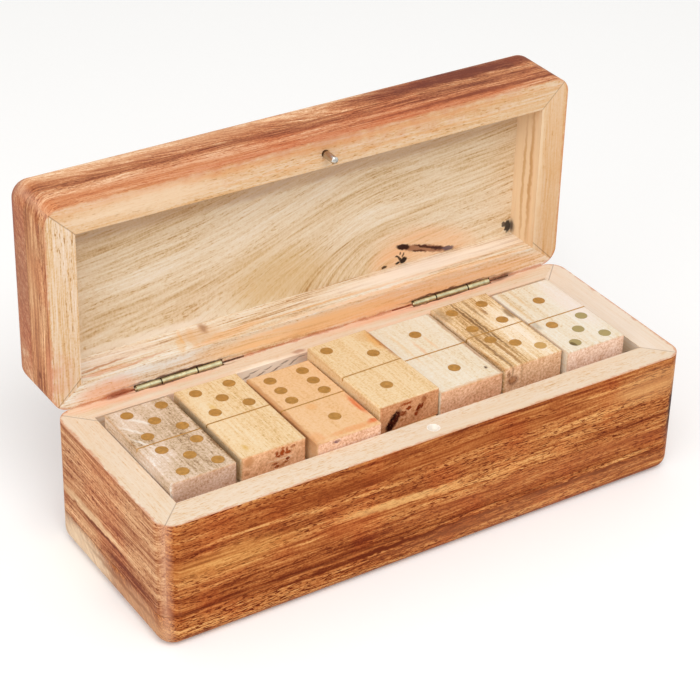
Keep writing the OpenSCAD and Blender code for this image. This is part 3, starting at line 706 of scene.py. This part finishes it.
def metal_finish(name, middle, shades, roughness, metallic, tints):
    """Metal mottled in shades of one colour, with fine scratches and its own tints."""
    r = Recipe(name)
    mottle = r.noise(r.scaled(r.place, MOTTLE), 3, 0.6)
    lines = r.noise(r.scaled(r.place, stretch(X, *SCRATCH)))
    colours = [tuple(min(c * shade, 1) for c in middle) for shade in shades]
    colour = r.ramp(r.total(0.5, (mottle, 1.6), (lines, 0.8)), colours)
    colour = tinted(r, r.place, tints, colour, blur=0.15)
    r.shader.inputs["Metallic"].default_value = metallic
    rough = r.total(roughness, (mottle, 0.25), (lines, 0.15))
    return r.finish(colour, rough, lines, 0.02, 0.3)


MICRONS = 1e6  # micrometres in a metre


def islands(mesh):
    """Groups of faces of a mesh of loose triangles that touch, as lists of face numbers."""
    owner = {}

    def root(k):
        while owner[k] != k:
            owner[k] = owner[owner[k]]
            k = owner[k]
        return k

    corners = [tuple(round(c * MICRONS) for c in v.co) for v in mesh.vertices]
    for corner in corners:
        owner.setdefault(corner, corner)
    for face in mesh.polygons:
        first = root(corners[face.vertices[0]])
        for v in face.vertices[1:]:
            owner[root(corners[v])] = first
    groups = {}
    for face in mesh.polygons:
        groups.setdefault(root(corners[face.vertices[0]]), []).append(face.index)
    return list(groups.values())


# ---- settings ----


def colour_setting(name, description, code):
    return bpy.props.FloatVectorProperty(
        name=name, description=description, subtype="COLOR", size=3, min=0, max=1, default=paint(code))


def setting(name, description, default, **limits):
    return bpy.props.FloatProperty(name=name, description=description, default=default, **limits)


class BoardSettings(bpy.types.PropertyGroup):
    amber: colour_setting("Amber stain", "Stain of the base's front and back", "#b26834")
    rose: colour_setting("Rose stain", "Stain of the lid", "#c37f54")
    tan: colour_setting("Tan stain", "Stain of the left ends", "#c68c60")
    worn: colour_setting("Worn corners", "Wood of the corners, where the stain has rubbed off", "#d6a588")
    bleed: colour_setting("Crept stain", "Stain that has crept over the edge of a rim", "#cb8055")
    creep: setting("Creep", "How far the stain has crept over a rim, in millimetres", 0.9, min=0.1, max=4)
    wear: setting("Wear", "How far the corners are rubbed pale", 0.45, subtype="FACTOR", min=0, max=1)
    ease: setting("Eased edge", "Width of the eased edges, in millimetres", 0.25, min=0.05, max=1)


class MetalSettings(bpy.types.PropertyGroup):
    inlay: colour_setting("Pip brass", "Sanded brass of the pips and strips", "#c29452")
    hinge: colour_setting("Hinge brass", "Dull brass of the hinges", "#cbc49d")
    steel: colour_setting("Pin steel", "Bright steel of the catch pin", "#c9c6c0")
    slot_run: setting(
        "Slot end", "Length of the open ends of the saw slots, in millimetres", 7.6, min=1, max=9)
    slot_gap: setting(
        "Slot gap", "Width of the saw slots where they come out, in millimetres", 0.7, min=0.2, max=1)


class StageSettings(bpy.types.PropertyGroup):
    aim: bpy.props.FloatVectorProperty(
        name="Aim", description="Point that the camera looks at", subtype="TRANSLATION", unit="LENGTH",
        default=(-0.00408, 0.00908, 0.04993))
    azimuth: setting(
        "Azimuth", "Turn of the camera about the box, from the front", math.radians(-33.1255),
        subtype="ANGLE")
    elevation: setting(
        "Elevation", "Height of the camera above the horizon", math.radians(31.6389), subtype="ANGLE")
    roll: setting("Roll", "Tilt of the camera about its own axis", math.radians(1.5410), subtype="ANGLE")
    distance: setting("Distance", "Distance from the camera to the aim", 0.67414, unit="LENGTH")
    lens: setting("Lens", "Focal length on a sensor 36 mm wide", 116.839, min=1)
    top_softbox: setting("Top softbox", "Power of the lamp above the box, in watts", 6.6, min=0)
    side_softbox: setting("Side softbox", "Power of the lamp at the left, in watts", 2.6, min=0)
    room: setting("Room light", "Strength of the light from all round", 0.64, min=0)
    floor: colour_setting("Floor", "Colour of the floor", "#f2f1ef")


# ---- operators ----


class DOMINOBOX_OT_boards(bpy.types.Operator):
    """Stain and sand the boards of the base and the lid"""
    bl_idname = "dominobox.boards"
    bl_label = "Finish the boards"

    def execute(self, context):
        settings = context.scene.domino_boards
        for node in BOARDS:
            put(node, board_finish(node, settings))
            ease(node, settings.ease)
        return {"FINISHED"}


FIRST_DOMINO = 20  # seed of the first domino


class DOMINOBOX_OT_dominoes(bpy.types.Operator):
    """Sand the wood of the dominoes, each from its own board"""
    bl_idname = "dominobox.dominoes"
    bl_label = "Finish the dominoes"

    def execute(self, context):
        kinds = list(WOODS)
        for i, node in enumerate(DOMINOES):
            if node in TOP_ROW:
                look = FACES[TOP_ROW.index(node)]
            else:
                plain = dict(wood=kinds[i % len(kinds)], shades=(), tints=(), knots=())
                look = dict(FACES[i % len(FACES)], **plain)
            put(node, domino_finish(node, look, FIRST_DOMINO + i))
        return {"FINISHED"}


class DOMINOBOX_OT_inlays(bpy.types.Operator):
    """Set the brass pips and strips in the dominoes"""
    bl_idname = "dominobox.inlays"
    bl_label = "Finish the inlays"

    def execute(self, context):
        settings = context.scene.domino_metal
        brass = metal_finish("inlay_brass", settings.inlay, (0.7, 0.9, 1.0, 1.15, 1.4), 0.5, 0.55, DULLED)
        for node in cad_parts:
            if node.endswith("_brass"):
                put(node, brass)
        for node in DOMINOES:
            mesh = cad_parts[node].data
            # the wood has the most faces, and the other groups are its brass
            groups = sorted(islands(mesh), key=len)
            if len(groups) < 2 or node in TOP_ROW:
                continue
            mesh.materials.append(brass)
            for group in groups[:-1]:
                for index in group:
                    mesh.polygons[index].material_index = 1
        return {"FINISHED"}


class DOMINOBOX_OT_hinges(bpy.types.Operator):
    """Finish the brass of the hinges, their pins and their nails"""
    bl_idname = "dominobox.hinges"
    bl_label = "Finish the hinges"

    def execute(self, context):
        settings = context.scene.domino_metal
        brass = metal_finish("hinge_brass", settings.hinge, (0.6, 0.85, 1.0, 1.15, 1.3), 0.34, 1.0, KNUCKLE_GAP_SHADE)
        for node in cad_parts:
            if "_hinge_" in node:
                put(node, brass)
        return {"FINISHED"}


CRUMBS = 40  # cuts along a filler rod
CRUMBLED = 0.2  # how much of its thickness a rod has lost at most


class DOMINOBOX_OT_slots(bpy.types.Operator):
    """Fill the open ends of the saw slots beside the hinges with dark rods, painted shade of the slots and
    the stain seen in them
    """
    bl_idname = "dominobox.slots"
    bl_label = "Fill the ends of the slots"

    def execute(self, context):
        settings = context.scene.domino_metal
        run, gap = settings.slot_run, settings.slot_gap
        for side in ("left", "right"):
            lo, hi = low(side + "_hinge_pin"), high(side + "_hinge_pin")
            # the rods stand in for the shade inside the slot ends; the reddish ones also for the stain seen
            # there
            for end, start, colour in (("left", lo.x - run, "#8e4c33"), ("right", hi.x, "#5f4435")):
                name = f"dust_{side}_hinge_{end}"
                piece = added(name, self.rod(start, run, gap))
                piece.data.materials.append(self.dust(name, colour))
                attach(piece, "base")
        return {"FINISHED"}

    def rod(self, start, run, gap):
        """A crumbly rod on the hinges' axis, from start to the right."""
        shape = bmesh.new()
        bmesh.ops.create_cone(
            shape, cap_ends=True, segments=12, radius1=gap / 2, radius2=gap / 2, depth=run)
        along = [e for e in shape.edges if abs(e.verts[0].co.z - e.verts[1].co.z) > run / 2]
        bmesh.ops.subdivide_edges(shape, edges=along, cuts=CRUMBS)
        for corner in shape.verts:
            crumb = noise.noise(corner.co * 2 + Vector((start, 0, 0)))
            corner.co *= Vector((1 - CRUMBLED * abs(crumb), 1 - CRUMBLED * abs(crumb), 1))
        middle = Vector((start + run / 2, BASE_TOP.y, BASE_TOP.z))
        turn = Matrix.Translation(middle / MM) @ Matrix.Scale(1 / MM, 4)
        turn = turn @ Matrix.Rotation(math.pi / 2, 4, "Y")
        bmesh.ops.transform(shape, matrix=turn, verts=shape.verts)
        bmesh.ops.recalc_face_normals(shape, faces=shape.faces)
        return shape

    def dust(self, name, colour):
        r = Recipe(name)
        crumbs = r.noise(r.scaled(r.place, (1.2, 2.5, 2.5)), 3, 0.7)
        dark = tuple(c * 0.4 for c in paint(colour))
        shades = [dark, paint(colour), paint("#c98f68")]
        return r.finish(r.ramp(crumbs, shades), 0.9, crumbs, 0.1)


class DOMINOBOX_OT_catch(bpy.types.Operator):
    """Polish the steel catch pin"""
    bl_idname = "dominobox.catch"
    bl_label = "Finish the catch pin"

    def execute(self, context):
        settings = context.scene.domino_metal
        put("catch_pin", metal_finish("steel", settings.steel, (0.5, 0.75, 1.0, 1.15, 1.3), 0.22, 1.0, SHAFT))
        return {"FINISHED"}


FLOOR_SIZE = 3.0  # half its side, in metres
FLOOR_GLOW = 0.15  # how much whiter the floor looks than it is
LAMP_AIM = Vector((0, 0, 0.05))  # in metres
SENSOR = 36.0  # width in millimetres


class DOMINOBOX_OT_stage(bpy.types.Operator):
    """Lay the floor, hang the lamps and set up the camera"""
    bl_idname = "dominobox.stage"
    bl_label = "Set up the studio"

    def execute(self, context):
        scene, stage = context.scene, context.scene.domino_stage
        scene.view_settings.view_transform = "Standard"
        self.floor(stage)
        self.lamps(scene, stage)
        self.camera(scene, stage)
        return {"FINISHED"}

    def floor(self, stage):
        shape = bmesh.new()
        bmesh.ops.create_grid(shape, x_segments=1, y_segments=1, size=FLOOR_SIZE)
        floor = added("floor", shape)
        material = bpy.data.materials.new("floor")
        material.use_nodes = True
        nodes, links = material.node_tree.nodes, material.node_tree.links
        shader = nodes["Principled BSDF"]
        shader.inputs["Base Color"].default_value = (*stage.floor, 1)
        shader.inputs["Roughness"].default_value = 0.9
        shader.inputs["Specular IOR Level"].default_value = 0.1
        glow = nodes.new("ShaderNodeEmission")
        seen = seen_directly(nodes, links)
        scale = nodes.new("ShaderNodeMath")
        scale.operation = "MULTIPLY"
        scale.inputs[1].default_value = FLOOR_GLOW
        links.new(seen, scale.inputs[0])
        links.new(scale.outputs[0], glow.inputs["Strength"])
        both = nodes.new("ShaderNodeAddShader")
        links.new(shader.outputs[0], both.inputs[0])
        links.new(glow.outputs[0], both.inputs[1])
        links.new(both.outputs[0], nodes["Material Output"].inputs["Surface"])
        floor.data.materials.append(material)

    def lamps(self, scene, stage):
        world = bpy.data.worlds.new("room")
        scene.world = world
        world.use_nodes = True
        nodes, links = world.node_tree.nodes, world.node_tree.links
        background = nodes["Background"]
        background.inputs["Color"].default_value = (1, 1, 1, 1)
        seen = seen_directly(nodes, links)
        strength = nodes.new("ShaderNodeMapRange")
        links.new(seen, strength.inputs["Value"])
        strength.inputs["To Min"].default_value = stage.room
        strength.inputs["To Max"].default_value = 1.0
        links.new(strength.outputs[0], background.inputs["Strength"])
        for name, watts, size, spot in (("top_softbox", stage.top_softbox, (0.7, 0.6), (-0.2, -0.6, 1.0)),
                                        ("side_softbox", stage.side_softbox, (0.7, 0.7), (-1.0, -0.35, 0.5))):
            lamp = bpy.data.lights.new(name, "AREA")
            lamp.shape, lamp.energy = "RECTANGLE", watts
            lamp.size, lamp.size_y = size
            holder = bpy.data.objects.new(name, lamp)
            holder.location = spot
            aim = LAMP_AIM - holder.location
            holder.rotation_euler = aim.to_track_quat("-Z", "Y").to_euler()
            scene.collection.objects.link(holder)

    def camera(self, scene, stage):
        turn, rise = stage.azimuth, stage.elevation
        back = Vector((math.sin(turn) * math.cos(rise), -math.cos(turn) * math.cos(rise), math.sin(rise)))
        data = bpy.data.cameras.new("camera")
        data.sensor_width, data.lens = SENSOR, stage.lens
        data.clip_start, data.clip_end = 0.01, 20.0
        camera = bpy.data.objects.new("camera", data)
        camera.location = Vector(stage.aim) + back * stage.distance
        look = (-back).to_track_quat("-Z", "Y").to_matrix().to_4x4()
        camera.rotation_euler = (look @ Matrix.Rotation(stage.roll, 4, "Z")).to_euler()
        scene.collection.objects.link(camera)
        scene.camera = camera


def seen_directly(nodes, links):
    """1 for rays from the camera, and for those that a metal or a glass passes on."""
    path = nodes.new("ShaderNodeLightPath")
    result = path.outputs["Is Camera Ray"]
    for other in ("Is Glossy Ray", "Is Transmission Ray"):
        step = nodes.new("ShaderNodeMath")
        step.operation = "MAXIMUM"
        links.new(result, step.inputs[0])
        links.new(path.outputs[other], step.inputs[1])
        result = step.outputs[0]
    return result


STEPS = ["boards", "dominoes", "inlays", "hinges", "slots", "catch", "stage"]


class DOMINOBOX_PT_sidebar(bpy.types.Panel):
    bl_label = "Domino Box"
    bl_idname = "DOMINOBOX_PT_sidebar"
    bl_space_type = "VIEW_3D"
    bl_region_type = "UI"
    bl_category = "Domino Box"

    def draw(self, context):
        scene = context.scene
        for title, settings in (("Boards", scene.domino_boards), ("Metal and slots", scene.domino_metal),
                                ("Studio", scene.domino_stage)):
            box = self.layout.box()
            box.label(text=title)
            for key in settings.__annotations__:
                box.prop(settings, key)
        for step in STEPS:
            self.layout.operator("dominobox." + step)


CLASSES = (
    BoardSettings, MetalSettings, StageSettings, DOMINOBOX_OT_boards, DOMINOBOX_OT_dominoes,
    DOMINOBOX_OT_inlays, DOMINOBOX_OT_hinges, DOMINOBOX_OT_slots, DOMINOBOX_OT_catch, DOMINOBOX_OT_stage,
    DOMINOBOX_PT_sidebar,
)


def register():
    for item in CLASSES:
        bpy.utils.register_class(item)
    bpy.types.Scene.domino_boards = bpy.props.PointerProperty(type=BoardSettings)
    bpy.types.Scene.domino_metal = bpy.props.PointerProperty(type=MetalSettings)
    bpy.types.Scene.domino_stage = bpy.props.PointerProperty(type=StageSettings)


def unregister():
    del bpy.types.Scene.domino_boards
    del bpy.types.Scene.domino_metal
    del bpy.types.Scene.domino_stage
    for item in reversed(CLASSES):
        bpy.utils.unregister_class(item)


def main():
    register()
    for step in STEPS:
        getattr(bpy.ops.dominobox, step)()


if __name__ == "__main__":
    main()
